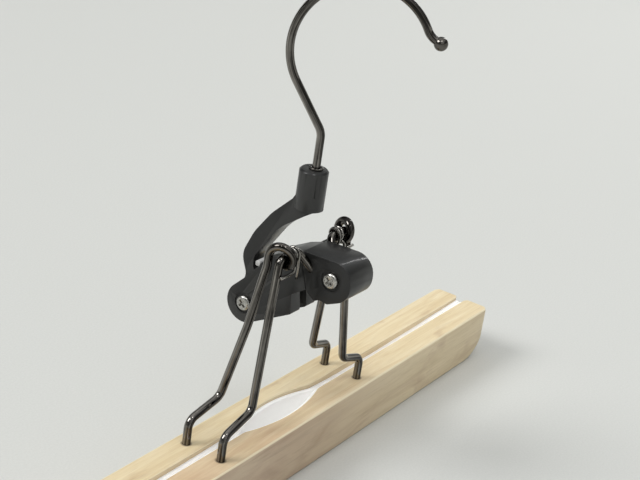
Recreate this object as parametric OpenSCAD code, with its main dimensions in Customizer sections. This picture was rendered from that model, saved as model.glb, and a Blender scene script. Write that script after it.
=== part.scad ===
// Trouser hanger: two felt-lined wooden clamp bars on bent wire legs, a scissor hinge of two
// moulded blocks, a toggle neck that opens the jaws, and a swivelling hook.
// X runs along the bars, -Y is the front and Z is up. The origin is the middle of the clamp
// mouth, on the plane that the bars stand on.

/* [Bars] */
// Length of each wooden bar
bar_length = 370; // [300:10:420]
// Thickness of a bar, front to back
bar_thickness = 14.5; // [12:0.5:18]
// Height of a bar
bar_height = 28; // [24:1:36]
// Gap between the two wooden faces
mouth_gap = 4.8; // [4.8:0.2:6]
// Radius of the lower corners at the bar ends
heel_radius = 19; // [6:1:22]
// Half length of the hollow in the middle of the mouth
hollow_half = 30; // [20:1:40]
// Depth of that hollow in each bar
hollow_depth = 5; // [3:0.5:6]

/* [Felt] */
// Thickness of each felt strip
felt_thickness = 2.2; // [1.6:0.1:2.3]
// How far the felt stops below the top of the wood
felt_drop = 1.9; // [0.5:0.1:3]

/* [Wire legs] */
// Diameter of the leg wire
wire_d = 3.9; // [3:0.1:4]
// Distance of each wire foot from the middle
foot_x = 55.6; // [50:0.2:70]
// Distance of the left knees from the middle
left_knee_x = 35.5; // [34:0.5:44]
// Distance of the right knees from the middle
right_knee_x = 39; // [34:0.5:44]
// Distance of each leg from the middle where it meets the hinge
top_x = 26.9; // [26.5:0.1:28]

/* [Hinge] */
// Height of the jaw hinge axis
hinge_z = 115.5; // [115:0.1:116]
// Place of the jaw hinge axis, front to back
hinge_y = -7.4; // [-7.6:0.1:-7.2]
// Diameter of the spring wire
spring_d = 1.4; // [1.2:0.1:1.5]
// Turns of each closing spring are this far apart
spring_pitch = 2.1; // [2:0.1:2.3]

/* [Blocks] */
// Width of the moulded blocks along the bars
block_width = 19; // [18:0.5:22]
// Width of the neck moulding
neck_width = 9.4; // [8:0.2:10]
// Height of the neck pivot
pivot_z = 79; // [78:0.5:80]
// Distance of the link pin above the neck pivot
link_arm = 9.5; // [9:0.1:9.8]
// Diameter of the two screws
screw_d = 4; // [3.5:0.1:4.2]

/* [Hook] */
// Diameter of the hook wire
hook_d = 3.7; // [3:0.1:4.2]
// Radius of the hook's loop
loop_radius = 30; // [26:1:34]
// Direction that the hook's tip points, seen from above
hook_turn = -60; // [-90:5:90]

/* [Hidden] */

// Fits: a running fit on each side, a seat that holds, and the gap between moving mouldings
running = 0.06;
seat = 0.02;
clear = 0.3;
// A cut runs this far past the surface that it opens
past = 1;
// Length of a cut that clears a whole block
cut = 60;
// Overlap that joins two shapes of one piece, and the room past a blind end
lap = 0.2;
end_room = 0.2;
socket_room = 0.1;
moulding_black = [0.17, 0.17, 0.18];

// Facets of round shapes and steps along bent wires
round_facets = 64;
small_facets = 48;
hub_facets = 96;
hollow_facets = 360;
bend_steps = 5;
outline_steps = 8;
heel_steps = 12;
wire_sides = 12;
hook_sides = 14;
spring_sides = 6;

// Bars and felt
bar_in = mouth_gap / 2;
bar_mid = bar_in + bar_thickness / 2;
edge_radius = 1.8;
end_radius = 4;
hollow_x = 1.5;
hollow_r = (hollow_half * hollow_half + hollow_depth * hollow_depth) / (2 * hollow_depth);
hollow_y = bar_in + hollow_depth - hollow_r;
felt_inset = 3;
felt_rise = 0.6;
felt_face = bar_in - felt_thickness;

// Wire legs
foot_depth = 14;
shoulder_z = 39.6;
knee_z = 44.6;
front_knee_y = -9.1;
back_knee_y = 8.7;
pin_inner_x = 13.4;
front_entry = [block_width / 2, -11.2, 109.6];
pin_taper = 1.2;
embed = 4.6;
socket_lead = 2;
bend_r = 5;
pin_bend_r = 3.4;

// Back wire coil round the hinge pin
coil_r = 4.1;
coil_x = 26.2;
neck_x = 27.2;
leg_lean = 0.34;
coil_shift = 3.5;
coil_steps = 15;
coil_last = 270;
back_entry = [block_width / 2, -3.8, 109.6];
back_way = [-1, 0.2, -0.06];
// The left coil starts wider than the right one
left_lead = 2.2;
right_lead = 0.4;

// Closing spring on the hinge pin
spring_r = 3;
spring_x = 16.1;
spring_turn_angle = 630;
spring_steps = 14;

// Moulded blocks
half_block = block_width / 2;
neck_slot = neck_width / 2 + clear;
channel = 2.6;
slot_y = 8.4;
back_pivot = [19.6, pivot_z];
front_pivot = [-24, 106.3];
link_eye = [back_pivot[0], pivot_z + link_arm];
cheek_r = 9.5;
nose_r = 9;
recess_r = 5;
recess_depth = 0.5;
pad_y = 13.9;
pad_z = 98.8;
pad_size = [2.9, 2.7];
pad_inset = 0.7;
pad_fit = 0.05;

// Screws, pins and link
head_r = 3.65;
head_h = 2;
head_flat = 0.7;
screw_r = screw_d / 2;
screw_reach = half_block - 1.5;
cross_w = 1;
cross_l = 4.2;
cross_depth = 1.3;
dome_steps = 8;
link_t = 3;
link_r = 3.7;
link_half = 3;
link_side = 0.15;
link_rest = atan2(front_pivot[1] - link_eye[1], front_pivot[0] - link_eye[0]);
link_swing = 11.2;
swing_room = 0.35;
gap_front = 12;
gap_corner = 3.6;
eye_room = link_r + 1;
pin_r = 1.75;

// Neck and hook
hub_r = 6.6;
hub_y = -2.4;
hub_back = 0.8;
hub_base = 131;
hub_top = 149.5;
hub_edge = 0.8;
disc_r = 8.3;
shank_r = hook_d / 2;
button_r = 2.6;
button_z = 134.5;
button_h = 1.6;
button_room = 0.1;
pocket_low = 121;
ball_r = 3.1;
loop_centre = [11.5, 204];
loop_steps = 32;
shank_lap = 2;
collar_h = 1.1;
collar_w = 1.4;

function unit(v) = v / norm(v);
function clamp01(t) = min(1, max(0, t));
function ease(t) = let (c = clamp01(t)) c * c * (3 - 2 * c);
function last(list) = list[len(list) - 1];

// Points of one rounded corner of a path, between the points before and after it
function corner_arc(before, at, after, r, steps) =
    let (
        u = unit(at - before),
        w = unit(after - at),
        turn = acos(max(-1, min(1, u * w)))
    )
    turn < 0.5 || r == 0 ? [at] :
    let (
        side = unit(w - u * (u * w)),
        start = at - u * r * tan(turn / 2),
        centre = start + side * r
    )
    [for (i = [0:steps]) let (a = turn * i / steps) centre - side * r * cos(a) + u * r * sin(a)];

// Path through the corners, each a point and a bend radius
function rounded_path(points, radii, steps = bend_steps) =
    [for (i = [0:len(points) - 1])
        each (i == 0 || i == len(points) - 1 ? [points[i]] :
              corner_arc(points[i - 1], points[i], points[i + 1], radii[i], steps))];

// Closed outline whose corners are [across, up, radius]
function rounded_outline(corners, steps = outline_steps) =
    let (n = len(corners), flat = [for (c = corners) [c[0], c[1]]])
    [for (i = [0:n - 1])
        each corner_arc(flat[(i + n - 1) % n], flat[i], flat[(i + 1) % n], corners[i][2], steps)];

function tangent(path, i) =
    unit(path[min(i + 1, len(path) - 1)] - path[max(i - 1, 0)]);
function carried(side, t) = unit(side - t * (side * t));
function sides_along(path, side, i = 0) =
    i == len(path) ? [] :
    let (now = carried(side, tangent(path, i))) concat([now], sides_along(path, now, i + 1));

// Round wire along a path of points, as one closed tube
module tube(path, r, n) {
    rows = len(path);
    sides = sides_along(path, [0.3, 0.9, 0.2]);
    points = [for (i = [0:rows - 1], k = [0:n - 1])
        let (a = 360 * k / n, t = tangent(path, i))
        path[i] + r * (cos(a) * sides[i] + sin(a) * cross(t, sides[i]))];
    walls = [for (i = [0:rows - 2], k = [0:n - 1]) each
        let (p = i * n + k, q = i * n + (k + 1) % n)
        [[p, p + n, q], [q, p + n, q + n]]];
    first_cap = [for (k = [1:n - 2]) [0, k, k + 1]];
    last_cap = [for (k = [1:n - 2]) let (e = (rows - 1) * n) [e, e + k + 1, e + k]];
    polyhedron(points, concat(first_cap, walls, last_cap));
}

// Frame whose Z axis follows a direction, at a place
module along(at, direction) {
    z = unit(direction);
    x = unit(cross(abs(z[0]) > 0.9 ? [0, 1, 0] : [1, 0, 0], z));
    y = cross(z, x);
    multmatrix([[x[0], y[0], z[0], at[0]], [x[1], y[1], z[1], at[1]], [x[2], y[2], z[2], at[2]]])
        children();
}

// Straight round bar from one point to another
module rod(from, to, r) {
    along(from, to - from) cylinder(r = r, h = norm(to - from), $fn = small_facets);
}

// Solid whose outline lies in the YZ plane, centred on the middle plane
module side_profile(corners, width) {
    translate([-width / 2, 0, 0]) rotate([90, 0, 90])
        linear_extrude(width) polygon(rounded_outline(corners));
}

// Round bar or bore along X through a place in the YZ plane
module cross_bar(place, r, from, to) {
    translate([from, place[0], place[1]]) rotate([0, 90, 0])
        cylinder(r = r, h = to - from, $fn = round_facets);
}

// Rectangle with round corners, centred
module round_rect(w, h, r) {
    square([w - 2 * r, h], center = true);
    square([w, h - 2 * r], center = true);
    for (x = [-1, 1], y = [-1, 1])
        translate([x * (w / 2 - r), y * (h / 2 - r)]) circle(r = r, $fn = small_facets);
}

// Wooden bars
module bar() {
    end_x = bar_length / 2;
    heel = [[-end_x, 0, heel_radius], [end_x, 0, heel_radius],
            [end_x, bar_height, edge_radius], [-end_x, bar_height, edge_radius]];
    difference() {
        intersection() {
            translate([0, bar_mid, 0])
                linear_extrude(bar_height) round_rect(bar_length, bar_thickness, end_radius);
            translate([0, bar_mid, bar_height / 2]) rotate([90, 0, 90])
                translate([0, 0, -end_x]) linear_extrude(bar_length)
                    round_rect(bar_thickness, bar_height, edge_radius);
            translate([0, bar_mid + bar_thickness, 0]) rotate([90, 0, 0])
                linear_extrude(2 * bar_thickness) polygon(rounded_outline(heel, heel_steps));
        }
        translate([hollow_x, hollow_y, -past])
            cylinder(r = hollow_r, h = bar_height + 2 * past, $fn = hollow_facets);
        for (s = [-1, 1])
            translate([s * foot_x, bar_mid, bar_height - foot_depth])
                cylinder(r = wire_d / 2 + seat, h = foot_depth + past, $fn = small_facets);
    }
}

module front_bar() {
    color("burlywood") mirror([0, 1, 0]) bar();
}

module back_bar() {
    color("burlywood") bar();
}

// Felt strips, each bent into the hollow of its bar
module felt() {
    length = bar_length - 2 * felt_inset;
    height = bar_height - felt_drop - felt_rise;
    translate([0, 0, felt_rise]) difference() {
        union() {
            translate([-length / 2, felt_face, 0]) cube([length, felt_thickness, height]);
            intersection() {
                translate([hollow_x, hollow_y, 0]) cylinder(r = hollow_r, h = height, $fn = hollow_facets);
                translate([-length / 2, bar_in - felt_thickness / 2, 0])
                    cube([length, hollow_depth + felt_thickness, height]);
            }
        }
        translate([hollow_x, hollow_y, -past])
            cylinder(r = hollow_r - felt_thickness, h = height + 2 * past, $fn = hollow_facets);
    }
}

module front_felt() {
    color("white") mirror([0, 1, 0]) felt();
}

module back_felt() {
    color("white") felt();
}

// Front leg: foot, knee, hinge pin and the end that is moulded into the front block
front_end = front_entry + embed * unit(front_entry - [pin_inner_x, hinge_y, hinge_z]);
function front_corners(knee_x) = [
    [foot_x, -bar_mid, bar_height - foot_depth], [foot_x, -bar_mid, shoulder_z],
    [knee_x, front_knee_y, knee_z], [top_x, hinge_y, hinge_z],
    [pin_inner_x, hinge_y, hinge_z], front_end];
front_bends = [0, bend_r, bend_r, pin_bend_r, 3, 0];
pin_from = top_x - pin_bend_r;
pin_to = pin_inner_x + pin_taper;

module front_wire(knee_x) {
    tube(rounded_path(front_corners(knee_x), front_bends), wire_d / 2 - seat, wire_sides);
    cross_bar([hinge_y, hinge_z], wire_d / 2, pin_to, pin_from);
}

module right_front_wire() {
    color("dimgray") front_wire(right_knee_x);
}

module left_front_wire() {
    color("dimgray") mirror([1, 0, 0]) front_wire(left_knee_x);
}

// Back leg: foot, knee, one open coil round the hinge pin and the end in the back block
function coil_point(a, lead) =
    let (
        r = coil_r + lead * pow(1 - clamp01(a / 200), 1.2),
        x = coil_x - coil_shift * ease((a - 40) / 160)
    )
    [x, hinge_y + r * cos(a), hinge_z + r * sin(a)];
back_end = back_entry + embed * unit(back_way);
function back_leg(knee_x, lead) = rounded_path(
    [[foot_x, bar_mid, bar_height - foot_depth], [foot_x, bar_mid, shoulder_z],
     [knee_x, back_knee_y, knee_z], [neck_x + leg_lean * (knee_x - neck_x), 2.2, 82],
     [neck_x, lead / 2 - 0.8, 101], [coil_x, lead - 3.2, 110]],
    [0, bend_r, bend_r, 90, 60, 0]);
back_tail = rounded_path(
    [coil_point(coil_last, 0), [22.3, -4.4, 110.5], back_entry, back_end], [0, 3, 0, 0]);

module back_wire(knee_x, lead) {
    coil = [for (i = [0:coil_steps]) coil_point(coil_last * i / coil_steps, lead)];
    tail = [for (i = [1:len(back_tail) - 1]) back_tail[i]];
    tube(concat(back_leg(knee_x, lead), coil, tail), wire_d / 2, wire_sides);
}

module right_back_wire() {
    color("dimgray") back_wire(right_knee_x, right_lead);
}

module left_back_wire() {
    color("dimgray") mirror([1, 0, 0]) back_wire(left_knee_x, left_lead);
}

// Closing spring: one tail beside the back block, turns on the pin, one arm over the front leg
function spring_point(a) =
    [spring_x + spring_pitch * a / 360, hinge_y + spring_r * cos(180 - a), hinge_z + spring_r * sin(180 - a)];
spring_turns = [for (i = [0:spring_steps]) spring_point(spring_turn_angle * i / spring_steps)];
spring_tail = rounded_path(
    [[10.4, -6.9, 101.4], [14.4, -9.6, 108.6], [spring_x, hinge_y - spring_r, 113.4],
     spring_turns[0]], [0, 6, 4, 0], 3);
spring_arm = rounded_path(
    [last(spring_turns), [19.7, -10.9, 112.2], [20.3, -11.3, 108.7], [29, -10.4, 108]],
    [0, 1.6, 1.8, 0], 3);
spring_path = concat([for (i = [0:len(spring_tail) - 2]) spring_tail[i]], spring_turns,
                     [for (i = [1:len(spring_arm) - 1]) spring_arm[i]]);
// Least gap between the middles of two stretches of the spring that are most of a turn apart
spring_gap = min([for (i = [0:len(spring_path) - 1], j = [i + 5:1:len(spring_path) - 1])
    norm(spring_path[i] - spring_path[j])]) - spring_d;
echo(spring_gap = spring_gap);

module spring() {
    tube(spring_path, spring_d / 2, spring_sides);
}

module right_spring() {
    color("silver") spring();
}

module left_spring() {
    color("silver") mirror([1, 0, 0]) spring();
}

// The two blocks part along a line that runs down from the hinge
part_line = [[-7.5, 114.2], [-8.4, 108.2], [-12.4, 96.6]];
half_gap = clear / 2;

// Hole for a wire's end, from outside the block's face to just past that end
module wire_socket(entry, end) {
    way = unit(end - entry);
    rod(entry - socket_lead * way, end + socket_room * way, wire_d / 2 + seat);
}

module both_sides() {
    children();
    mirror([1, 0, 0]) children();
}

// Bore for a screw and the shallow recess round its head
module screw_bore(place) {
    cross_bar(place, screw_r + seat, -half_block - past, screw_reach + end_room);
    cross_bar(place, recess_r, -half_block - past, -half_block + recess_depth);
}

module front_block() {
    outline = [[part_line[0][0] - half_gap, 114.8, 0.3], [part_line[1][0] - half_gap, part_line[1][1], 6],
               [part_line[2][0] - half_gap, part_line[2][1], 0.6], [-16.8, 93.7, 1.2],
               [-19.4, 95.2, 3], [-23.6, 94.6, 2], [-34.2, 99.6, 9], [-33.8, 115.7, nose_r]];
    color(moulding_black) difference() {
        side_profile(outline, block_width);
        // Channel for the link, open below and behind
        cross_bar(front_pivot, eye_room, -channel, channel);
        translate([-channel, front_pivot[0], front_pivot[1] + eye_room - cut])
            cube([2 * channel, cut, cut]);
        translate([-channel, front_pivot[0] - eye_room, front_pivot[1] - cut])
            cube([2 * channel, eye_room + past, cut]);
        screw_bore(front_pivot);
        both_sides() wire_socket(front_entry, front_end);
    }
}

// Place on the round rear end of the back block, which is centred on the pivot screw
function round_tail(a) = [back_pivot[0] + cheek_r * cos(a), back_pivot[1] + cheek_r * sin(a), 0];

module back_block() {
    outline = [[part_line[0][0] + half_gap, 113.9, 0.8], [0.4, 111.1, 12], [9.6, 105.9, 8],
               [19.3, 93, 10], round_tail(44), [back_pivot[0], back_pivot[1], 0], round_tail(-120.5),
               [-6.4, 83.2, 1.6], [-4.8, 92.4, 1], [-11.6, 97.2, 1],
               [part_line[2][0] + half_gap + 0.3, part_line[2][1] + 0.8, 0.5],
               [part_line[1][0] + half_gap, part_line[1][1], 6]];
    color(moulding_black) difference() {
        union() {
            side_profile(outline, block_width);
            cross_bar(back_pivot, cheek_r, -half_block, half_block);
        }
        // Fork for the neck, open above, behind and below
        translate([-neck_slot, slot_y, pivot_z - cut / 2]) cube([2 * neck_slot, cut, cut]);
        // Channel for the link, open below
        translate([0, link_eye[0], link_eye[1]]) rotate([link_rest - 180, 0, 0])
            translate([-channel, -cut, -cut]) cube([2 * channel, cut, cut + eye_room]);
        // Seat for the stop pad, open above
        translate([-half_block - past, pad_y, pad_z]) cube([block_width + 2 * past, pad_size[0], cut]);
        screw_bore(back_pivot);
        both_sides() wire_socket(back_entry, back_end);
    }
}

// Pan-head screw with a cross recess, its head on the left face of the blocks
module screw(place) {
    dome = [for (i = [0:dome_steps]) let (a = 90 * i / dome_steps)
        [head_r - (head_h - head_flat) * (1 - cos(a)), head_flat + (head_h - head_flat) * sin(a)]];
    shaft = half_block + screw_reach - recess_depth;
    translate([-half_block + recess_depth, place[0], place[1]]) rotate([0, -90, 0]) difference() {
        union() {
            rotate_extrude($fn = round_facets) polygon(concat([[0, 0], [head_r, 0]], dome, [[0, head_h]]));
            translate([0, 0, -shaft]) cylinder(r = screw_r, h = shaft + lap, $fn = round_facets);
        }
        for (a = [45, 135])
            rotate([0, 0, a]) translate([-cross_l / 2, -cross_w / 2, head_h - cross_depth])
                cube([cross_l, cross_w, head_h]);
    }
}

module front_screw() {
    color("lightgray") screw(front_pivot);
}

module back_screw() {
    color("lightgray") screw(back_pivot);
}

// Link between the neck and the front block
module link() {
    span = norm(front_pivot - link_eye);
    color("gray") difference() {
        union() {
            cross_bar(link_eye, link_r, -link_t / 2, link_t / 2);
            cross_bar(front_pivot, link_r, -link_t / 2, link_t / 2);
            translate([-link_t / 2, link_eye[0], link_eye[1]]) rotate([link_rest, 0, 0])
                translate([0, 0, -link_half]) cube([link_t, span, 2 * link_half]);
        }
        cross_bar(link_eye, pin_r + running, -link_t, link_t);
        cross_bar(front_pivot, screw_r + clear, -link_t, link_t);
    }
}

module link_pin() {
    color("silver") cross_bar(link_eye, pin_r, -neck_width / 2, neck_width / 2);
}

// Neck: fork on the pivot screw, swept arm and the hub that holds the hook
module neck_lever() {
    outline = [[15.3, 80, 0], [15.3, 92.4, 2.5], [20.3, 94.6, 2.5], [20.7, 100.6, 5],
               [9.2, 119, 26], [-2.6, 128.2, 6], [-7.6, 131.2, 1.5], [-7.6, 138, 1], [2.6, 138, 1],
               [4.6, 134.4, 3], [14.4, 124.2, 34], [22.2, 112.6, 30], [27.4, 100, 10],
               [23.6, 91, 6], [26.6, 80, 0]];
    gap = 2 * (link_t / 2 + link_side);
    eye_gap = link_r + swing_room;
    swing_slope = tan(link_swing - link_rest);
    gap_outline = [
        [gap_front, link_eye[1] - eye_gap, 0],
        [link_eye[0] + eye_gap, link_eye[1] - eye_gap, gap_corner],
        [link_eye[0] + eye_gap, link_eye[1] + eye_gap, gap_corner],
        [link_eye[0], link_eye[1] + eye_gap, 0],
        [gap_front, link_eye[1] + eye_gap + swing_slope * (link_eye[0] - gap_front), 0]];
    color(moulding_black) difference() {
        union() {
            side_profile(outline, neck_width);
            cross_bar(back_pivot, disc_r, -neck_width / 2, neck_width / 2);
            translate([0, hub_y + hub_back, hub_base])
                cylinder(r = hub_r, h = hub_top - hub_base - hub_edge, $fn = hub_facets);
            translate([0, hub_y + hub_back, hub_top - hub_edge])
                cylinder(r1 = hub_r, r2 = hub_r - hub_edge, h = hub_edge, $fn = hub_facets);
        }
        cross_bar(back_pivot, screw_r + running, -neck_width, neck_width);
        cross_bar(link_eye, pin_r + seat, -neck_width, neck_width);
        // Gap for the link and its swing, open to the front
        side_profile(gap_outline, gap);
        // Bore for the hook and the pocket for its button, open below
        translate([0, hub_y, pocket_low])
            cylinder(r = shank_r + running, h = hub_top + past - pocket_low, $fn = round_facets);
        translate([0, hub_y, pocket_low])
            cylinder(r = button_r + button_room, h = button_z + button_h + button_room - pocket_low,
                     $fn = round_facets);
    }
}

module hook_collar() {
    color("gainsboro") translate([0, hub_y, hub_top]) difference() {
        cylinder(r = shank_r + collar_w, h = collar_h, $fn = round_facets);
        translate([0, 0, -past])
            cylinder(r = shank_r + running, h = collar_h + 2 * past, $fn = round_facets);
    }
}

// Hook in its own plane: [across, up] places, turned about the shank
function in_hook(p) =
    [p[0] * cos(hook_turn), hub_y + p[0] * sin(hook_turn), p[1]];
function on_loop(a) = loop_centre + loop_radius * [cos(a), sin(a)];

function arc(centre, r, from, to, steps) =
    [for (i = [0:steps]) let (a = from + (to - from) * i / steps) centre + r * [cos(a), sin(a)]];

// The shank leans back by this angle before it meets the loop
lean = 33;
lean_bend_r = 9;
lean_trim = lean_bend_r * tan(lean / 2);
loop_join = on_loop(180 + lean);
lean_z = loop_join[1] + loop_join[0] / tan(lean);
tip_a = 28;
tip_turn = 36;
tip_r = 9;
tip_length = 2.5;
tip_centre = on_loop(tip_a) + tip_r * [cos(tip_a), sin(tip_a)];
tip_lead = [sin(tip_a + tip_turn), -cos(tip_a + tip_turn)];
tip_bend = arc(tip_centre, tip_r, 180 + tip_a, 180 + tip_a + tip_turn, 4);
tip_end = last(tip_bend) + tip_length * tip_lead;
hook_line = concat(
    [[0, hub_top - shank_lap]],
    arc([-lean_bend_r, lean_z - lean_trim], lean_bend_r, 0, lean, 4),
    arc(loop_centre, loop_radius, 180 + lean, tip_a, loop_steps),
    [for (i = [1:len(tip_bend) - 1]) tip_bend[i]],
    [tip_end]);

module hook() {
    color("dimgray") {
        translate([0, hub_y, button_z]) cylinder(r = button_r, h = button_h, $fn = round_facets);
        translate([0, hub_y, button_z])
            cylinder(r = shank_r, h = hub_top + collar_h + past - button_z, $fn = round_facets);
        tube([for (p = hook_line) in_hook(p)], shank_r - seat, hook_sides);
        translate(in_hook(tip_end)) sphere(r = ball_r, $fn = round_facets);
    }
}

// Nylon pad across the fork, which stops the neck
module stop_pad() {
    back = pad_y + pad_size[0] - pad_fit;
    top = pad_z + pad_size[1];
    corners = [[pad_y, pad_z, 0], [back, pad_z, 0.8], [back, top, 1.2], [pad_y + pad_fit, top, 1]];
    color("whitesmoke") side_profile(corners, block_width - 2 * pad_inset);
}

front_bar();
back_bar();
front_felt();
back_felt();
left_front_wire();
right_front_wire();
left_back_wire();
right_back_wire();
left_spring();
right_spring();
front_block();
back_block();
front_screw();
back_screw();
neck_lever();
link();
link_pin();
hook();
hook_collar();
stop_pad();
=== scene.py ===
"""Looks of the trouser hanger: wooden bars, felt, bent wire legs, black mouldings and the hook.

X runs along the bars, Y from the front jaw to the back jaw, and Z up. Sizes are written in
millimetres, as the part's own drawing has them, and turned into metres by mm().
"""

import math

import bmesh
import bpy
from mathutils import Matrix, Vector


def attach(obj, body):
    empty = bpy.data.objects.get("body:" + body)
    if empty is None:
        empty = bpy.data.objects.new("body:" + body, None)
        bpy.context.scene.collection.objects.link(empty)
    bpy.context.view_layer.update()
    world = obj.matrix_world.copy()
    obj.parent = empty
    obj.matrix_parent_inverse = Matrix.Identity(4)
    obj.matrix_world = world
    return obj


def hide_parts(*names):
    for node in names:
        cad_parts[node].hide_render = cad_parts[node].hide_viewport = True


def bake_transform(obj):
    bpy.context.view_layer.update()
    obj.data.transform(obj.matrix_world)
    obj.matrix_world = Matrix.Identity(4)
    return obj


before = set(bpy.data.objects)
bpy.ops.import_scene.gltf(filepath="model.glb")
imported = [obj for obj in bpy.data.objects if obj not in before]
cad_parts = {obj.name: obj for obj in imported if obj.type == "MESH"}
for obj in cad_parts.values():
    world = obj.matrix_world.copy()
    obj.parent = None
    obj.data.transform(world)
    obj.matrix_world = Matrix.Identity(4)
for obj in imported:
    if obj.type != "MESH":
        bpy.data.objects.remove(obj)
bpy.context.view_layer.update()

# Camera, placed as the photograph's was found to be
CAMERA_AT = (-507.7, -309.5, 363.65)
CAMERA_RIGHT = Vector((0.5523, -0.82201, 0.13876))
CAMERA_DOWN = Vector((-0.2508, -0.32259, -0.91271))
CAMERA_FORWARD = Vector((0.79502, 0.46929, -0.38433))
IMAGE_WIDTH = 640
FOCAL_PIXELS = 1442.2
SENSOR_MM = 36

# Bars. MOUTH is half of the gap between them, and HEEL the round of their lower ends
BAR_HALF = 185
BAR_THICK = 14.5
BAR_HIGH = 28
MOUTH = 2.4
BAR_OUT = MOUTH + BAR_THICK
BAR_MID = MOUTH + BAR_THICK / 2
HEEL = 19
END_ROUND = 4
EDGE = 1.3
MOUTH_EDGE = 0.45
EDGE_STEPS = 6

# Hollow in the mouth, an arc in plan. Stations are close together in its zone
HOLLOW_X = 1.5
HOLLOW_HALF = 30
HOLLOW_DEEP = 5
HOLLOW_ZONE = 34
HOLLOW_R = (HOLLOW_HALF ** 2 + HOLLOW_DEEP ** 2) / (2 * HOLLOW_DEEP)
HOLLOW_Y = MOUTH + HOLLOW_DEEP - HOLLOW_R

# Felt strips, 3 mm short of the bars at each end. FELT_FACE is their distance from the middle of
# the mouth, and FELT_ROUNDS the radii of their four edges, as section() takes them
FELT = 2.2
FELT_FACE = 0.04
FELT_INSET = 0.02
FELT_HALF = BAR_HALF - 3
FELT_LOW = 0.6
FELT_TRIM = 0.4
FELT_END_ROUND = 0.8
FELT_ROUNDS = (0.5, 0.3, 0.3, 0.9)
# How far the glued strips lie below the top of the wood, at places along the bars
FELT_DROPS = ((-185, 2.0), (-75, 2.3), (-30, 1.7), (0, 1.4), (30, 2.0), (55, 3.0), (90, 3.4),
              (130, 2.9), (160, 2.0), (185, 1.4))

# Wire legs, from their feet in the bars up to the hinge
WIRE_R = 1.95
FOOT_X = 55.6
FOOT_LOW = 14
SHOULDER_Z = 39.6
LEFT_KNEE_X = 35.5
RIGHT_KNEE_X = 39
KNEE_Z = 44.6
FRONT_KNEE_Y = -9.1
BACK_KNEE_Y = 8.7
BEND_R = 5
TOP_X = 26.9
HINGE_Y = -7.4
HINGE_Z = 115.5
PIN_INNER_X = 13.4
PIN_BEND_R = 3.4
PIN_END_R = 3
LONGEST_RUN = 6

# Where the wires enter the two blocks, and how deep they go in
BLOCK_HALF = 9.5
FRONT_ENTRY = Vector((BLOCK_HALF, -11.2, 109.6))
BACK_ENTRY = Vector((BLOCK_HALF, -3.8, 109.6))
BACK_INWARD = Vector((-1, 0.2, -0.06))
EMBED = 4.6

# A back leg bows on its way from the knee to its neck, the bend just below the coil
BOW_SHARE = 0.34
BOW_Y = 2.2
BOW_Z = 82
BOW_R = 90
NECK_X = 27.2
NECK_Y = -0.8
NECK_Z = 101
NECK_R = 60
COIL_START_Y = -3.2
COIL_START_Z = 110

# The coil starts wider than COIL_R by its lead, which fades, and steps inward by COIL_SHIFT.
# Its angles are in degrees
COIL_R = 4.1
COIL_X = 26.2
COIL_LAST = 270
COIL_STEPS = 48
LEFT_LEAD = 2.2
RIGHT_LEAD = 0.4
LEAD_FADE = 200
LEAD_POWER = 1.2
COIL_SHIFT = 3.5
SHIFT_FROM = 40
SHIFT_OVER = 160
COIL_EXIT = (22.3, -4.4, 110.5)
COIL_EXIT_R = 3

# Closing springs on the hinge pin. SPRING_BEND is a length along the pin's axis, from which
# make_spring takes two points that it does not use
SPRING_WIRE_R = 0.7
SPRING_R = 3
SPRING_X = 16.1
SPRING_PITCH = 2.1
SPRING_TURN = 630
SPRING_STEPS = 64
SPRING_TAIL = ((10.4, -6.9, 101.4), (14.4, -9.6, 108.6), (SPRING_X, HINGE_Y - SPRING_R, 113.4))
SPRING_TAIL_RADII = (0, 6, 4, 0)
SPRING_ARM = ((19.7, -10.9, 112.2), (20.3, -11.3, 108.7), (29, -10.4, 108))
SPRING_ARM_RADII = (0, 1.6, 1.8, 0)
SPRING_ARC_STEPS = 6
SPRING_RUN = 3
SPRING_BEND = 4

# The neck's front corners, which pass the hub's round below it
TUCK_Y = -6.2
TUCK_Z = 127.8
TUCK_X = 4

# Hook, drawn flat in its own plane and turned about the hub's axis
HOOK_R = 1.85
HUB_Y = -2.4
HOOK_TURN = math.radians(-60)
LOOP_CENTRE = Vector((11.5, 204))
LOOP_R = 30
LEAN = math.radians(33)
LEAN_BEND_R = 9
TIP_A = math.radians(28)
TIP_TURN = math.radians(36)
TIP_R = 9
TIP_STRAIGHT = 2.5
BALL_R = 3.1
HOOK_BUTTON_Z = 134.5
HOOK_BUTTON_R = 2.6
HOOK_BUTTON_H = 1.6
HOOK_BEND_STEPS = 12
HOOK_LOOP_STEPS = 96

# Shading and edges, with angles in degrees and MERGE in metres
SHARP_ANGLE = 32
BEVEL_ANGLE = 35
FLAT_ANGLE = 0.8
MERGE = 1e-6

# Floor: flat out to its reach, then a quarter-round up
FLOOR_FLAT = 8000
FLOOR_RISE = 4000
FLOOR_SIDES = 96
FLOOR_STEPS = 16

LAMP_TARGET = (0, 0, 80)


def mm(value):
    """Millimetres to metres, for a number or a vector."""
    return value * 0.001


def ease(t):
    """A smooth rise from 0 to 1, flat before and after."""
    t = min(1.0, max(0.0, t))
    return t * t * (3 - 2 * t)


def add_to_scene(obj):
    bpy.context.scene.collection.objects.link(obj)
    return obj


def shade_smooth(mesh):
    for face in mesh.polygons:
        face.use_smooth = True


def mesh_object(name, points, faces):
    """A smooth mesh object from points in millimetres."""
    mesh = bpy.data.meshes.new(name)
    mesh.from_pydata([tuple(mm(Vector(p))) for p in points], [], faces)
    bm = bmesh.new()
    bm.from_mesh(mesh)
    bmesh.ops.recalc_face_normals(bm, faces=bm.faces)
    bm.to_mesh(mesh)
    bm.free()
    shade_smooth(mesh)
    return add_to_scene(bpy.data.objects.new(name, mesh))


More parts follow.
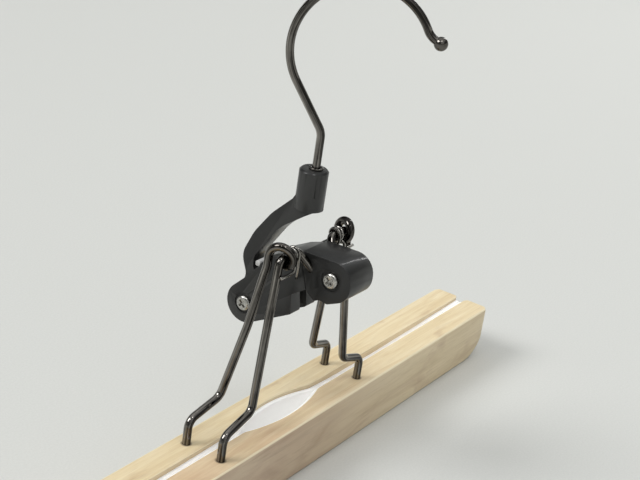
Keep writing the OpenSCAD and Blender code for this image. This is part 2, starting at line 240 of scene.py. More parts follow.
def loft(name, rings):
    """Skin over rings of points, each with as many as the first, closed at both ends."""
    n = len(rings[0])
    faces = []
    for i in range(len(rings) - 1):
        for k in range(n):
            p, q = i * n + k, i * n + (k + 1) % n
            faces.append((p, q, q + n, p + n))
    last = (len(rings) - 1) * n
    faces += [tuple(reversed(range(n))), tuple(range(last, last + n))]
    return mesh_object(name, [p for ring in rings for p in ring], faces)


def smooth_by_angle(obj):
    """Smooth shading that keeps edges sharper than the limit."""
    shade_smooth(obj.data)
    limit = math.radians(SHARP_ANGLE)
    bm = bmesh.new()
    bm.from_mesh(obj.data)
    for edge in bm.edges:
        edge.smooth = len(edge.link_faces) == 2 and edge.calc_face_angle(0) < limit
    bm.to_mesh(obj.data)
    bm.free()


def dress(obj, body, material, node):
    """Gives a new piece its body and material, and hides the CAD node that it stands for."""
    obj.data.materials.clear()
    obj.data.materials.append(material)
    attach(obj, body)
    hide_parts(node)
    return obj


# Paths of bent wire

def mirrored(points):
    """The same points on the hanger's other side."""
    return [Vector((-p[0], p[1], p[2])) for p in points]


def corner_arc(before, at, after, r, steps):
    """Points of a round corner of radius r."""
    u = (at - before).normalized()
    w = (after - at).normalized()
    turn = u.angle(w)
    nearly_straight = turn < 0.01
    if nearly_straight or r == 0:
        return [at]
    side = (w - u * u.dot(w)).normalized()
    start = at - u * r * math.tan(turn / 2)
    centre = start + side * r
    angles = [turn * i / steps for i in range(steps + 1)]
    return [centre - side * r * math.cos(a) + u * r * math.sin(a) for a in angles]


def rounded_path(points, radii, steps=10):
    """A path through the points, with a radius for each of its corners."""
    points = [Vector(p) for p in points]
    path = [points[0]]
    for i in range(1, len(points) - 1):
        path += corner_arc(points[i - 1], points[i], points[i + 1], radii[i], steps)
    return path + [points[-1]]


def fill_runs(path, longest):
    """The path with extra points on its long straight runs."""
    filled = [path[0]]
    for a, b in zip(path, path[1:]):
        pieces = max(1, math.ceil((b - a).length / longest))
        filled += [a.lerp(b, k / pieces) for k in range(1, pieces + 1)]
    return filled


def tube(name, path, radius, sides=24, round_ends=0.25):
    """Round wire along a path, with slightly rounded ends.

    Its attribute wire_place keeps each point's place round and along the wire.
    """
    rows = []
    along_no_wire = Vector((0.3, 0.9, 0.2))
    side = along_no_wire
    for i, at in enumerate(path):
        tangent = (path[min(i + 1, len(path) - 1)] - path[max(i - 1, 0)]).normalized()
        side = (side - tangent * side.dot(tangent)).normalized()
        rows.append((at, tangent, side, radius))
    first_at, first_tangent, first_side, _ = rows[0]
    last_at, last_tangent, last_side, _ = rows[-1]
    inner = radius - round_ends
    rows[0] = (first_at + first_tangent * round_ends, first_tangent, first_side, radius)
    rows[-1] = (last_at - last_tangent * round_ends, last_tangent, last_side, radius)
    rows.insert(0, (first_at, first_tangent, first_side, inner))
    rows.append((last_at, last_tangent, last_side, inner))

    rings, places = [], []
    along, before = 0.0, first_at
    for at, tangent, side, r in rows:
        other = tangent.cross(side)
        along += (at - before).length
        before = at
        angles = [2 * math.pi * k / sides for k in range(sides)]
        rings.append([at + r * (math.cos(a) * side + math.sin(a) * other) for a in angles])
        for a in angles:
            places += [math.cos(a), math.sin(a), along]
    wire = loft(name, rings)
    attribute = wire.data.attributes.new("wire_place", "FLOAT_VECTOR", "POINT")
    attribute.data.foreach_set("vector", places)
    return wire


def front_wire_path(knee_x):
    """From the foot in the front bar up to the hinge pin, along it and into the front block."""
    pin_end = Vector((PIN_INNER_X, HINGE_Y, HINGE_Z))
    inward = (FRONT_ENTRY - pin_end).normalized()
    corners = [(FOOT_X, -BAR_MID, FOOT_LOW), (FOOT_X, -BAR_MID, SHOULDER_Z),
               (knee_x, FRONT_KNEE_Y, KNEE_Z), (TOP_X, HINGE_Y, HINGE_Z),
               pin_end, FRONT_ENTRY + EMBED * inward]
    return fill_runs(rounded_path(corners, [0, BEND_R, BEND_R, PIN_BEND_R, PIN_END_R, 0]),
                     LONGEST_RUN)


def coil_point(angle, first_lead):
    """Place on the back wire's coil, at an angle in degrees from the back."""
    r = COIL_R + first_lead * max(0.0, 1 - angle / LEAD_FADE) ** LEAD_POWER
    x = COIL_X - COIL_SHIFT * ease((angle - SHIFT_FROM) / SHIFT_OVER)
    a = math.radians(angle)
    return Vector((x, HINGE_Y + r * math.cos(a), HINGE_Z + r * math.sin(a)))


def back_wire_path(knee_x, lead):
    """From the foot in the back bar up to the coil, round the pin and into the back block."""
    corners = [(FOOT_X, BAR_MID, FOOT_LOW), (FOOT_X, BAR_MID, SHOULDER_Z),
               (knee_x, BACK_KNEE_Y, KNEE_Z),
               (NECK_X + BOW_SHARE * (knee_x - NECK_X), BOW_Y, BOW_Z),
               (NECK_X, NECK_Y + lead / 2, NECK_Z),
               (COIL_X, COIL_START_Y + lead, COIL_START_Z)]
    leg = rounded_path(corners, [0, BEND_R, BEND_R, BOW_R, NECK_R, 0])
    coil = [coil_point(COIL_LAST * i / COIL_STEPS, lead) for i in range(COIL_STEPS + 1)]
    end = BACK_ENTRY + EMBED * BACK_INWARD.normalized()
    tail = rounded_path([coil[-1], COIL_EXIT, BACK_ENTRY, end], [0, COIL_EXIT_R, 0, 0])
    return fill_runs(leg + coil + tail[1:], LONGEST_RUN)


def spring_point(angle):
    """Place on the spring's turns, at an angle in degrees from the front."""
    a = math.radians(180 - angle)
    return Vector((SPRING_X + SPRING_PITCH * angle / 360,
                   HINGE_Y + SPRING_R * math.cos(a), HINGE_Z + SPRING_R * math.sin(a)))


def spring_path():
    """Tail, turns and arm of the right closing spring."""
    turns = [spring_point(SPRING_TURN * i / SPRING_STEPS) for i in range(SPRING_STEPS + 1)]
    tail = rounded_path([*SPRING_TAIL, turns[0]], SPRING_TAIL_RADII, SPRING_ARC_STEPS)
    arm = rounded_path([turns[-1], *SPRING_ARM], SPRING_ARM_RADII, SPRING_ARC_STEPS)
    return fill_runs(tail[:-1] + turns + arm[1:], SPRING_RUN)


def direction(a):
    """A unit vector in the hook's plane."""
    return Vector((math.cos(a), math.sin(a)))


def arc(centre, r, start, end, steps):
    """Points of an arc in the hook's plane."""
    angles = [start + (end - start) * i / steps for i in range(steps + 1)]
    return [centre + r * direction(a) for a in angles]


def hook_path():
    """The hook's centreline, from its button to its ball."""
    join = LOOP_CENTRE + LOOP_R * direction(math.pi + LEAN)
    lean_z = join.y + join.x / math.tan(LEAN)
    trim = LEAN_BEND_R * math.tan(LEAN / 2)
    tip_centre = LOOP_CENTRE + (LOOP_R + TIP_R) * direction(TIP_A)
    tip = arc(tip_centre, TIP_R, math.pi + TIP_A, math.pi + TIP_A + TIP_TURN, HOOK_BEND_STEPS)
    tip_end = tip[-1] + TIP_STRAIGHT * direction(TIP_A + TIP_TURN - math.pi / 2)
    flat = [Vector((0, HOOK_BUTTON_Z + HOOK_BUTTON_H / 2))]
    flat += arc(Vector((-LEAN_BEND_R, lean_z - trim)), LEAN_BEND_R, 0, LEAN, HOOK_BEND_STEPS)
    flat += arc(LOOP_CENTRE, LOOP_R, math.pi + LEAN, TIP_A, HOOK_LOOP_STEPS)
    flat += tip[1:] + [tip_end]
    turned = [Vector((p.x * math.cos(HOOK_TURN), HUB_Y + p.x * math.sin(HOOK_TURN), p.y))
              for p in flat]
    return fill_runs(turned, LONGEST_RUN)


# Materials

def new_material(name):
    """A node material, with its tree and its main shader."""
    material = bpy.data.materials.new(name)
    material.use_nodes = True
    tree = material.node_tree
    tree.nodes.clear()
    shader = tree.nodes.new("ShaderNodeBsdfPrincipled")
    out = tree.nodes.new("ShaderNodeOutputMaterial")
    tree.links.new(shader.outputs["BSDF"], out.inputs["Surface"])
    return material, tree, shader


def feed(tree, socket, value):
    """Links a node's output to a socket, or sets the socket's own value."""
    if isinstance(value, bpy.types.NodeSocket):
        tree.links.new(value, socket)
    else:
        socket.default_value = value


def noise(tree, vector, scale, detail=4, rough=0.55, distortion=0.0):
    node = tree.nodes.new("ShaderNodeTexNoise")
    feed(tree, node.inputs["Vector"], vector)
    node.inputs["Scale"].default_value = scale
    node.inputs["Detail"].default_value = detail
    node.inputs["Roughness"].default_value = rough
    node.inputs["Distortion"].default_value = distortion
    return node.outputs["Fac"]


def stretched(tree, vector, stretch):
    """A vector with a scale of its own on each axis."""
    mapping = tree.nodes.new("ShaderNodeMapping")
    tree.links.new(vector, mapping.inputs["Vector"])
    mapping.inputs["Scale"].default_value = stretch
    return mapping.outputs["Vector"]


def place(tree, stretch=(1, 1, 1)):
    """Object coordinates in metres, stretched."""
    coords = tree.nodes.new("ShaderNodeTexCoord")
    return stretched(tree, coords.outputs["Object"], stretch)


def ramp(tree, factor, stops):
    """Colour that runs through the stops, each a place and a colour."""
    node = tree.nodes.new("ShaderNodeValToRGB")
    feed(tree, node.inputs["Fac"], factor)
    elements = node.color_ramp.elements
    while len(elements) < len(stops):
        elements.new(0.5)
    for element, (at, colour) in zip(elements, stops):
        element.position = at
        element.color = (*colour, 1)
    return node.outputs["Color"]


def spread(tree, factor, taken, given):
    """The factor's range taken, mapped to the range given and held at its ends."""
    node = tree.nodes.new("ShaderNodeMapRange")
    feed(tree, node.inputs["Value"], factor)
    node.inputs["From Min"].default_value, node.inputs["From Max"].default_value = taken
    node.inputs["To Min"].default_value, node.inputs["To Max"].default_value = given
    return node.outputs["Result"]


def mix(tree, factor, a, b):
    """Colour a, with b over it by the factor."""
    node = tree.nodes.new("ShaderNodeMix")
    node.data_type = "RGBA"
    feed(tree, node.inputs["Factor"], factor)
    feed(tree, node.inputs["A"], a if isinstance(a, bpy.types.NodeSocket) else (*a, 1))
    feed(tree, node.inputs["B"], b if isinstance(b, bpy.types.NodeSocket) else (*b, 1))
    return node.outputs["Result"]


def math_node(tree, how, a, b=0.0):
    node = tree.nodes.new("ShaderNodeMath")
    node.operation = how
    feed(tree, node.inputs[0], a)
    feed(tree, node.inputs[1], b)
    return node.outputs["Value"]


def product(tree, a, b):
    return math_node(tree, "MULTIPLY", a, b)


def shared_sum(tree, a, b, share):
    """A share of a, and the rest of b."""
    return math_node(tree, "ADD", product(tree, a, share), product(tree, b, 1 - share))


def from_line(tree, coordinate, line):
    """How far, in metres, a coordinate is past a line or its mirror, placed in millimetres."""
    return math_node(tree, "SUBTRACT", math_node(tree, "ABSOLUTE", coordinate), mm(line))


def bump(tree, height, strength, distance):
    node = tree.nodes.new("ShaderNodeBump")
    feed(tree, node.inputs["Height"], height)
    node.inputs["Strength"].default_value = strength
    node.inputs["Distance"].default_value = distance
    return node.outputs["Normal"]


def axes(tree, vector):
    """The three parts of a vector."""
    split = tree.nodes.new("ShaderNodeSeparateXYZ")
    tree.links.new(vector, split.inputs["Vector"])
    return split.outputs["X"], split.outputs["Y"], split.outputs["Z"]


# Wood colours, by how strong its streaks are, and on the near side by its broad clouds.
# The side colours are darker than the top ones: partly the wood's own tone, partly painted shade
WOOD_PALE = ((0.3, (0.71, 0.55, 0.32)), (0.5, (0.79, 0.65, 0.41)), (0.72, (0.86, 0.74, 0.51)))
WOOD_BROWN = ((0.3, (0.55, 0.37, 0.22)), (0.5, (0.64, 0.45, 0.28)), (0.72, (0.72, 0.55, 0.36)))
WOOD_FAR_SIDE = ((0.3, (0.66, 0.53, 0.33)), (0.5, (0.75, 0.62, 0.41)), (0.72, (0.82, 0.69, 0.48)))
WOOD_NEAR_SIDE = ((0.34, (0.62, 0.49, 0.35)), (0.5, (0.55, 0.41, 0.29)),
                  (0.68, (0.42, 0.29, 0.20)))
NEAR_STREAK = (0.36, 0.24, 0.16)
CLOUD = (0.46, 0.30, 0.18)
PORE = (0.42, 0.29, 0.18)
# Painted highlight on the wood's top edges
PAINTED_EDGE_HIGHLIGHT = (0.95, 0.84, 0.60)
END_LIGHT = (0.60, 0.45, 0.29)
END_DARK = (0.44, 0.30, 0.18)
# Painted shade round the wire bores
PAINTED_BORE_SHADE = (0.10, 0.065, 0.04)


def wood_material():
    """Pale lacquered birch, with streaks and pores along the bars and rings on the ends."""
    material, tree, shader = new_material("birch")
    streak = noise(tree, place(tree, (5, 80, 80)), 4, detail=6, rough=0.6, distortion=0.6)
    fine = noise(tree, place(tree, (16, 420, 420)), 4, detail=5, rough=0.65)
    broad = noise(tree, place(tree, (9, 34, 34)), 1.6, detail=3, rough=0.55, distortion=1.2)
    x, y, _ = axes(tree, place(tree))
    geometry = tree.nodes.new("ShaderNodeNewGeometry")
    normal_x, _, normal_z = axes(tree, geometry.outputs["Normal"])

    # The front bar is browner towards its left half, and most of all on its face, where the darker
    # colour is partly the wood's tone and partly painted shade
    in_front = spread(tree, y, (0.0, -0.002), (0, 1))
    to_left = spread(tree, x, (0.10, -0.03), (0, 1))
    near = product(tree, in_front, to_left)
    browner = product(tree, near, spread(tree, broad, (0.40, 0.62), (0.5, 1)))
    top = mix(tree, browner, ramp(tree, streak, WOOD_PALE), ramp(tree, streak, WOOD_BROWN))
    near_side = mix(tree, spread(tree, streak, (0.50, 0.66), (0, 0.6)),
                    ramp(tree, broad, WOOD_NEAR_SIDE), NEAR_STREAK)
    side = mix(tree, near, ramp(tree, streak, WOOD_FAR_SIDE), near_side)
    # Painted shade in part: faces turned away from straight up take the darker side colours
    colour = mix(tree, spread(tree, normal_z, (0.45, 0.8), (0, 1)), side, top)

    # Darker clouds and flecks
    colour = mix(tree, spread(tree, broad, (0.56, 0.72), (0, 0.5)), colour, CLOUD)
    colour = mix(tree, spread(tree, fine, (0.55, 0.75), (0, 0.35)), colour, PORE)

    # Painted highlight: the top edges, where the surface turns over, are painted pale as if lit
    edge_highlight_in = spread(tree, normal_z, (0.25, 0.5), (0, 1))
    edge_highlight_out = spread(tree, normal_z, (0.97, 0.85), (0, 1))
    edge_highlight = product(tree, product(tree, edge_highlight_in, edge_highlight_out), 0.8)
    colour = mix(tree, edge_highlight, colour, PAINTED_EDGE_HIGHLIGHT)

    # End grain
    rings = tree.nodes.new("ShaderNodeTexWave")
    rings.wave_type = "RINGS"
    feed(tree, rings.inputs["Vector"], place(tree, (0, 1, 1)))
    rings.inputs["Scale"].default_value = 90
    rings.inputs["Distortion"].default_value = 3
    ring_share = spread(tree, rings.outputs["Fac"], (0, 1), (0, 0.6))
    at_end = spread(tree, math_node(tree, "ABSOLUTE", normal_x), (0.7, 0.95), (0, 1))
    colour = mix(tree, at_end, colour, mix(tree, ring_share, END_LIGHT, END_DARK))

    # Painted shade: a dark ring painted round each wire where it enters its bore
    off_x = from_line(tree, x, FOOT_X)
    off_y = from_line(tree, y, BAR_MID)
    squares = math_node(tree, "ADD", product(tree, off_x, off_x), product(tree, off_y, off_y))
    ring = spread(tree, math_node(tree, "SQRT", squares),
                  (mm(WIRE_R + 0.15), mm(WIRE_R + 0.9)), (0.75, 0))
    feed(tree, shader.inputs["Base Color"], mix(tree, ring, colour, PAINTED_BORE_SHADE))
    feed(tree, shader.inputs["Roughness"], spread(tree, fine, (0.3, 0.7), (0.36, 0.54)))
    shader.inputs["Coat Weight"].default_value = 0.12
    shader.inputs["Coat Roughness"].default_value = 0.3
    feed(tree, shader.inputs["Normal"], bump(tree, fine, strength=0.12, distance=0.0004))
    return material


def felt_material():
    """Dense white felt: matted fibres in every direction."""
    material, tree, shader = new_material("felt")
    fibres = noise(tree, place(tree), 1800, detail=5, rough=0.7, distortion=1.2)
    clumps = noise(tree, place(tree), 240, rough=0.6)
    colour = ramp(tree, fibres, ((0.3, (0.93, 0.92, 0.90)), (0.6, (0.98, 0.975, 0.96))))
    clump_share = spread(tree, clumps, (0.4, 0.7), (0, 0.35))
    colour = mix(tree, clump_share, colour, (0.99, 0.98, 0.96))
    feed(tree, shader.inputs["Base Color"], colour)
    shader.inputs["Roughness"].default_value = 0.95
    shader.inputs["Sheen Weight"].default_value = 0.6
    shader.inputs["Sheen Roughness"].default_value = 0.5
    shader.inputs["Subsurface Weight"].default_value = 0.6
    shader.inputs["Subsurface Radius"].default_value = (0.003, 0.003, 0.003)
    # Painted light: a faint glow over all the felt, to brighten it where it lies in shade in the
    # mouth
    shader.inputs["Emission Color"].default_value = (1.0, 0.98, 0.95, 1)
    shader.inputs["Emission Strength"].default_value = 0.12
    both = math_node(tree, "ADD", fibres, clumps)
    feed(tree, shader.inputs["Normal"], bump(tree, both, strength=0.5, distance=0.0006))
    return material


def plated_material(name, dark, light, rough):
    """Plated metal with drawing marks, faint stains and slightly uneven gloss."""
    material, tree, shader = new_material(name)
    stain = noise(tree, place(tree), 160, rough=0.6)
    marks = noise(tree, place(tree, (60, 60, 60)), 22, detail=3, rough=0.6)
    lines = shared_sum(tree, marks, stain, 0.8)
    feed(tree, shader.inputs["Base Color"], ramp(tree, lines, ((0.38, dark), (0.62, light))))
    shader.inputs["Metallic"].default_value = 1.0
    feed(tree, shader.inputs["Roughness"], spread(tree, marks, (0.3, 0.7), rough))
    feed(tree, shader.inputs["Normal"], bump(tree, marks, strength=0.06, distance=0.0002))
    return material


def drawn_wire_material(name, dark, light, rough):
    """Plated drawn wire, with darker and brighter lines that run along it: painted reflection
    stripes, like those a round metal wire shows.
    """
    material, tree, shader = new_material(name)
    attribute = tree.nodes.new("ShaderNodeAttribute")
    attribute.attribute_name = "wire_place"
    along_wire = stretched(tree, attribute.outputs["Vector"], (1, 1, 0.012))
    lines = noise(tree, along_wire, 1.5, detail=3)
    stain = noise(tree, place(tree), 160, rough=0.6)
    level = shared_sum(tree, lines, stain, 0.88)
    feed(tree, shader.inputs["Base Color"], ramp(tree, level, ((0.44, dark), (0.66, light))))
    shader.inputs["Metallic"].default_value = 1.0
    feed(tree, shader.inputs["Roughness"], spread(tree, stain, (0.3, 0.7), rough))
    return material


def moulding_material():
    """Satin black moulding: fine spark texture, with a painted highlight that lightens its sharp
    edges.
    """
    material, tree, shader = new_material("black_moulding")
    grain = noise(tree, place(tree), 2600, detail=3, rough=0.6)
    flow = noise(tree, place(tree, (1, 1, 0.4)), 90, detail=3, rough=0.5, distortion=0.6)
    colour = ramp(tree, flow, ((0.3, (0.010, 0.010, 0.010)), (0.7, (0.017, 0.017, 0.0165))))
    geometry = tree.nodes.new("ShaderNodeNewGeometry")
    # Painted highlight: the sharp edges are lightened
    painted_edge_highlight = spread(tree, geometry.outputs["Pointiness"], (0.52, 0.62), (0, 0.35))
    feed(tree, shader.inputs["Base Color"], mix(tree, painted_edge_highlight, colour, (0.07, 0.07, 0.068)))
    feed(tree, shader.inputs["Roughness"], spread(tree, flow, (0.3, 0.7), (0.36, 0.48)))
    shader.inputs["Specular IOR Level"].default_value = 0.2
    shader.inputs["Coat Weight"].default_value = 0.3
    shader.inputs["Coat Roughness"].default_value = 0.17
    feed(tree, shader.inputs["Normal"], bump(tree, grain, strength=0.12, distance=0.0001))
    return material


def nylon_material():
    """Natural nylon: milky, waxy and faintly mottled."""
    material, tree, shader = new_material("nylon")
    milk = noise(tree, place(tree), 300, detail=3, rough=0.5)
    colour = ramp(tree, milk, ((0.3, (0.44, 0.44, 0.43)), (0.7, (0.54, 0.54, 0.53))))
    feed(tree, shader.inputs["Base Color"], colour)
    feed(tree, shader.inputs["Roughness"], spread(tree, milk, (0.3, 0.7), (0.38, 0.5)))
    shader.inputs["Subsurface Weight"].default_value = 0.15
    shader.inputs["Subsurface Radius"].default_value = (0.002, 0.002, 0.002)
    feed(tree, shader.inputs["Normal"], bump(tree, milk, strength=0.05, distance=0.0002))
    return material


WOOD = wood_material()
FELT_WHITE = felt_material()
DARK_WIRE = drawn_wire_material("dark_nickel", dark=(0.026, 0.024, 0.022),
                                light=(0.32, 0.30, 0.275), rough=(0.04, 0.09))
SPRING_STEEL = drawn_wire_material("spring_steel", dark=(0.12, 0.115, 0.105),
                                   light=(0.46, 0.44, 0.41), rough=(0.08, 0.16))
BRIGHT_STEEL = plated_material("bright_zinc", dark=(0.34, 0.33, 0.31),
                               light=(0.52, 0.51, 0.48), rough=(0.18, 0.3))
BLACK = moulding_material()
NYLON = nylon_material()


# Bars and felt

def quarter(radius, depth):
    """How far a quarter-round edge has fallen back at a depth from its end."""
    if depth >= radius:
        return 0.0
    return radius - math.sqrt(max(0.0, radius ** 2 - (radius - depth) ** 2))


def inner_face(x):
    """Y of the wooden face in the mouth, at a place along the bars."""
    from_middle = x - HOLLOW_X
    if abs(from_middle) >= HOLLOW_HALF:
        return MOUTH
    return HOLLOW_Y + math.sqrt(HOLLOW_R ** 2 - from_middle ** 2)


def felt_face(x):
    """Y of the felt's face in the mouth, at a place along the bars."""
    from_middle = x - HOLLOW_X
    r = HOLLOW_R - FELT
    if abs(from_middle) >= r:
        return FELT_FACE
    return max(FELT_FACE, HOLLOW_Y + math.sqrt(r ** 2 - from_middle ** 2))


def felt_top(x):
    """Height of the felt's upper edge at a place along the bars."""
    for (x0, drop0), (x1, drop1) in zip(FELT_DROPS, FELT_DROPS[1:]):
        if x <= x1:
            return BAR_HIGH - drop0 - (drop1 - drop0) * ease((x - x0) / (x1 - x0))
    return BAR_HIGH - FELT_DROPS[-1][1]


def section(y_low, y_high, z_low, z_high, radii):
    """Closed outline of a rectangle in YZ. Its corners' radii go round from the low Y and low Z."""
    corners = [(y_low, z_low, 1, 1, 180), (y_high, z_low, -1, 1, 270),
               (y_high, z_high, -1, -1, 0), (y_low, z_high, 1, -1, 90)]
    points = []
    for (y, z, inward_y, inward_z, start), r in zip(corners, radii):
        for i in range(EDGE_STEPS + 1):
            a = math.radians(start + 90 * i / EDGE_STEPS)
            points.append((y + inward_y * r + r * math.cos(a),
                           z + inward_z * r + r * math.sin(a)))
    return points


def stations(half, edge):
    """Places along a bar: close together at the ends, the heels and the hollow."""
    ends, heels, plains, hollows = 8, 10, 18, 46
    plain_run = half - HEEL - HOLLOW_ZONE
    right = [half - edge * (1 - math.cos(math.radians(90 * i / ends))) for i in range(ends + 1)]
    right += [half - edge - (HEEL - edge) * i / heels for i in range(1, heels + 1)]
    right += [half - HEEL - plain_run * i / plains for i in range(1, plains + 1)]
    hollow = [HOLLOW_ZONE - 2 * HOLLOW_ZONE * i / hollows for i in range(1, hollows)]
    return sorted(set(round(x, 4) for x in [-x for x in right] + hollow + right))


def in_space(x, sign, outline):
    """An outline in YZ at a place along the bars, on the front side or the back side."""
    return [Vector((x, sign * y, z)) for y, z in outline]


def make_bar(name, sign, body):
    """A wooden bar with round edges, heels and the hollow in its face."""
    rings = []
    for x in stations(BAR_HALF, EDGE):
        depth = BAR_HALF - abs(x)
        end = quarter(EDGE, depth)
        plan = max(quarter(END_ROUND, depth), end)
        bottom = max(quarter(HEEL, depth), end)
        outline = section(inner_face(x) + min(plan, EDGE + end), BAR_OUT - plan,
                          bottom, BAR_HIGH - end, (MOUTH_EDGE, EDGE, EDGE, MOUTH_EDGE))
        rings.append(in_space(x, sign, outline))
    bar = loft(name + "_dressed", rings)
    smooth_by_angle(bar)
    return dress(bar, body, WOOD, name)


def make_felt(name, sign, body):
    """A felt strip glued to the bar's face and trimmed to its heels."""
    rings = []
    for x in stations(FELT_HALF, FELT_END_ROUND):
        end = quarter(FELT_END_ROUND, FELT_HALF - abs(x))
        low = max(FELT_LOW, quarter(HEEL, BAR_HALF - abs(x)) + FELT_TRIM)
        outline = section(felt_face(x) + FELT_INSET, inner_face(x) - FELT_INSET,
                          low + end, felt_top(x) - end, FELT_ROUNDS)
        rings.append(in_space(x, sign, outline))
    felt = loft(name + "_dressed", rings)
    dress(felt, body, FELT_WHITE, name)


for side, sign, body in (("front", -1, "front_jaw"), ("back", 1, "root")):
    bar = make_bar(side + "_bar", sign, body)
    make_felt(side + "_felt", sign, body)


# Wires and springs

def make_spring(side, turn):
    """A closing spring, with its tail by the back jaw and its arm by the front leg."""
    spring = tube(side + "_spring_dressed", turn(spring_path()), SPRING_WIRE_R,
                  sides=16, round_ends=0.2)
    spring.data.materials.append(SPRING_STEEL)
    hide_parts(side + "_spring")
    start, end = turn([Vector((SPRING_X, HINGE_Y, HINGE_Z)),
                       Vector((SPRING_X + SPRING_BEND, HINGE_Y, HINGE_Z))])
    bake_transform(spring)


def make_leg(name, body, path):
    dress(tube(name + "_dressed", path, WIRE_R), body, DARK_WIRE, name)


for side, turn, knee_x, lead in (("left", mirrored, LEFT_KNEE_X, LEFT_LEAD),
                                 ("right", list, RIGHT_KNEE_X, RIGHT_LEAD)):
    make_leg(side + "_front_wire", "front_jaw", turn(front_wire_path(knee_x)))
    make_leg(side + "_back_wire", "root", turn(back_wire_path(knee_x, lead)))
    make_spring(side, turn)


# Mouldings, screws, link and pad

def tuck_corners(bm):
    """Draws the neck's two front corners under the hub back to the hub's round."""
    for vertex in bm.verts:
        at = vertex.co
        if at.z > mm(TUCK_Z) and at.y < mm(TUCK_Y) and abs(at.x) > mm(TUCK_X):
            at.y = mm(TUCK_Y)


def softened(node, body, material, width, segments=3, reshape=None):
    """A copy of a CAD node with its sharp edges rounded, standing for that node."""
    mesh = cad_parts[node].data.copy()
    mesh.name = node + "_soft"
    bm = bmesh.new()
    bm.from_mesh(mesh)
    if reshape:
        reshape(bm)
    bmesh.ops.remove_doubles(bm, verts=bm.verts, dist=MERGE)
    bmesh.ops.dissolve_degenerate(bm, dist=MERGE, edges=bm.edges)
    bmesh.ops.dissolve_limit(bm, angle_limit=math.radians(FLAT_ANGLE),
                             verts=bm.verts, edges=bm.edges)
    bmesh.ops.recalc_face_normals(bm, faces=bm.faces)
    bm.to_mesh(mesh)
    bm.free()
    shade_smooth(mesh)
    obj = add_to_scene(bpy.data.objects.new(node + "_dressed", mesh))
    edge = obj.modifiers.new("edges", "BEVEL")
    edge.width = mm(width)
    edge.segments = segments
    edge.limit_method = "ANGLE"
    edge.angle_limit = math.radians(BEVEL_ANGLE)
    edge.harden_normals = True
    edge.use_clamp_overlap = True
    dress(obj, body, material, node)


softened("front_block", "front_jaw", BLACK, width=0.6)
softened("back_block", "root", BLACK, width=0.6)
softened("neck_lever", "lever", BLACK, width=0.5, reshape=tuck_corners)
softened("front_screw", "front_jaw", BRIGHT_STEEL, width=0.12, segments=2)
softened("back_screw", "root", BRIGHT_STEEL, width=0.12, segments=2)
softened("link", "link", BRIGHT_STEEL, width=0.25, segments=2)
softened("link_pin", "lever", BRIGHT_STEEL, width=0.2, segments=2)
softened("hook_collar", "lever", DARK_WIRE, width=0.25, segments=2)
softened("stop_pad", "root", NYLON, width=0.4)


# Hook

def make_hook():
    """The hook's wire, its ball and the button that holds it in the hub, as one mesh."""
    path = hook_path()
    button_at = Vector((0, HUB_Y, HOOK_BUTTON_Z + HOOK_BUTTON_H / 2))
    hook = tube("hook_dressed", path, HOOK_R, sides=32)
    bm = bmesh.new()
    bm.from_mesh(hook.data)
    bmesh.ops.create_uvsphere(bm, u_segments=40, v_segments=24, radius=mm(BALL_R),
                              matrix=Matrix.Translation(mm(path[-1])))
    bmesh.ops.create_cone(bm, cap_ends=True, segments=40, depth=mm(HOOK_BUTTON_H),
                          radius1=mm(HOOK_BUTTON_R), radius2=mm(HOOK_BUTTON_R),
                          matrix=Matrix.Translation(mm(button_at)))
    bm.to_mesh(hook.data)
    bm.free()
    smooth_by_angle(hook)
    dress(hook, "hook", DARK_WIRE, "hook")


make_hook()


# Floor, light and camera

def make_floor():
    """A wide pale floor that curves up all round, far from the object."""
    rings = [(FLOOR_FLAT, 0)]
    for i in range(1, FLOOR_STEPS + 1):
        a = math.radians(90 * i / FLOOR_STEPS)
        rings.append((FLOOR_FLAT + FLOOR_RISE * math.sin(a), FLOOR_RISE * (1 - math.cos(a))))
    points = [Vector((0, 0, 0))]
    for reach, high in rings:
        for k in range(FLOOR_SIDES):
            turn = 2 * math.pi * k / FLOOR_SIDES
            points.append(Vector((reach * math.cos(turn), reach * math.sin(turn), high)))
    faces = [(0, 1 + k, 1 + (k + 1) % FLOOR_SIDES) for k in range(FLOOR_SIDES)]
    for i in range(len(rings) - 1):
        for k in range(FLOOR_SIDES):
            p = 1 + i * FLOOR_SIDES + k
            q = 1 + i * FLOOR_SIDES + (k + 1) % FLOOR_SIDES
            faces.append((p, p + FLOOR_SIDES, q + FLOOR_SIDES, q))
    floor = mesh_object("floor", points, faces)
    material, tree, shader = new_material("floor_paper")
    speck = noise(tree, place(tree), 900, detail=3, rough=0.6)
    paper = ramp(tree, speck, ((0.3, (0.60, 0.605, 0.58)), (0.7, (0.64, 0.645, 0.62))))
    feed(tree, shader.inputs["Base Color"], paper)
    shader.inputs["Roughness"].default_value = 0.9
    floor.data.materials.append(material)


def put_light(data, at):
    """Puts a light at a place in millimetres, looking at the hanger."""
    light = bpy.data.objects.new(data.name, data)
    light.location = mm(Vector(at))
    aim = mm(Vector(LAMP_TARGET)) - light.location
    light.rotation_mode = "QUATERNION"
    light.rotation_quaternion = aim.to_track_quat("-Z", "Y")
    add_to_scene(light)


def make_sun(name, at, strength, angle):
    data = bpy.data.lights.new(name, "SUN")
    data.energy = strength
    data.angle = math.radians(angle)
    put_light(data, at)


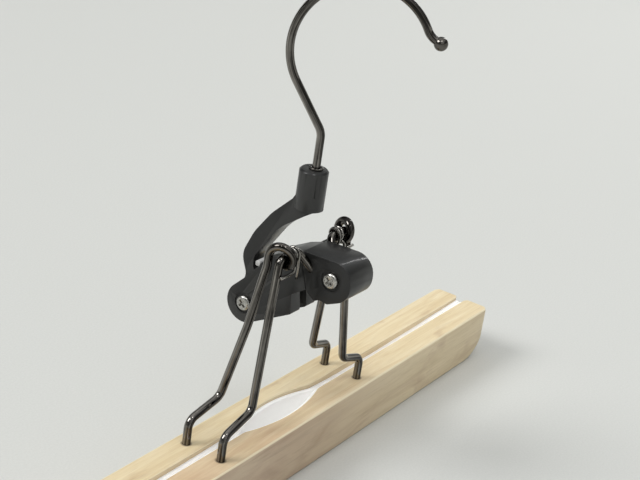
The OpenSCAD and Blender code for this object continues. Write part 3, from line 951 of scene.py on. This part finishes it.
def make_lamp(name, at, energy, wide, deep):
    """A soft rectangular lamp, in metres and watts."""
    data = bpy.data.lights.new(name, "AREA")
    data.shape = "RECTANGLE"
    data.energy = energy
    data.size = wide
    data.size_y = deep
    put_light(data, at)


# Light of the room from the horizon (0) to overhead (1), and of the bands across it
ROOM_LIGHT = ((0.1, (0.07, 0.07, 0.07)), (0.4, (0.12, 0.12, 0.12)), (0.65, (0.33, 0.34, 0.34)),
              (0.8, (0.84, 0.86, 0.86)), (1.0, (1.0, 1.0, 0.99)))
ROOM_BAND = (0.06, 0.06, 0.06)
ROOM_STRENGTH = 1.08


def make_world():
    """A soft room, bright overhead, with darker bands for the metal to mirror."""
    world = bpy.data.worlds.new("studio")
    bpy.context.scene.world = world
    world.use_nodes = True
    tree = world.node_tree
    background = tree.nodes["Background"]
    coords = tree.nodes.new("ShaderNodeTexCoord")
    around = coords.outputs["Generated"]
    _, _, height = axes(tree, around)
    bands = noise(tree, around, 1.7, detail=2, rough=0.5)
    sky = mix(tree, spread(tree, bands, (0.45, 0.6), (0, 0.45)),
              ramp(tree, height, ROOM_LIGHT), ROOM_BAND)
    feed(tree, background.inputs["Color"], sky)
    background.inputs["Strength"].default_value = ROOM_STRENGTH


def make_camera():
    data = bpy.data.cameras.new("camera")
    data.sensor_width = SENSOR_MM
    data.lens = FOCAL_PIXELS * SENSOR_MM / IMAGE_WIDTH
    data.clip_start = 0.01
    data.clip_end = 100
    camera = add_to_scene(bpy.data.objects.new("camera", data))
    turn = Matrix((CAMERA_RIGHT, -CAMERA_DOWN, -CAMERA_FORWARD)).transposed().to_4x4()
    camera.matrix_world = Matrix.Translation(mm(Vector(CAMERA_AT))) @ turn
    bpy.context.scene.camera = camera


make_floor()
make_world()
make_sun("key", (-700, 600, 820), strength=1.65, angle=26)
make_sun("front_fill", (-700, -900, 800), strength=0.3, angle=50)
make_lamp("highlight", (-500, -420, 1500), energy=2.2, wide=0.20, deep=0.20)
make_lamp("second_highlight", (-1050, 120, 1350), energy=1.4, wide=0.14, deep=0.14)
make_lamp("edge_strip", (1340, 60, 1010), energy=3.0, wide=0.05, deep=1.0)
make_camera()

bpy.context.scene.view_settings.view_transform = "Standard"
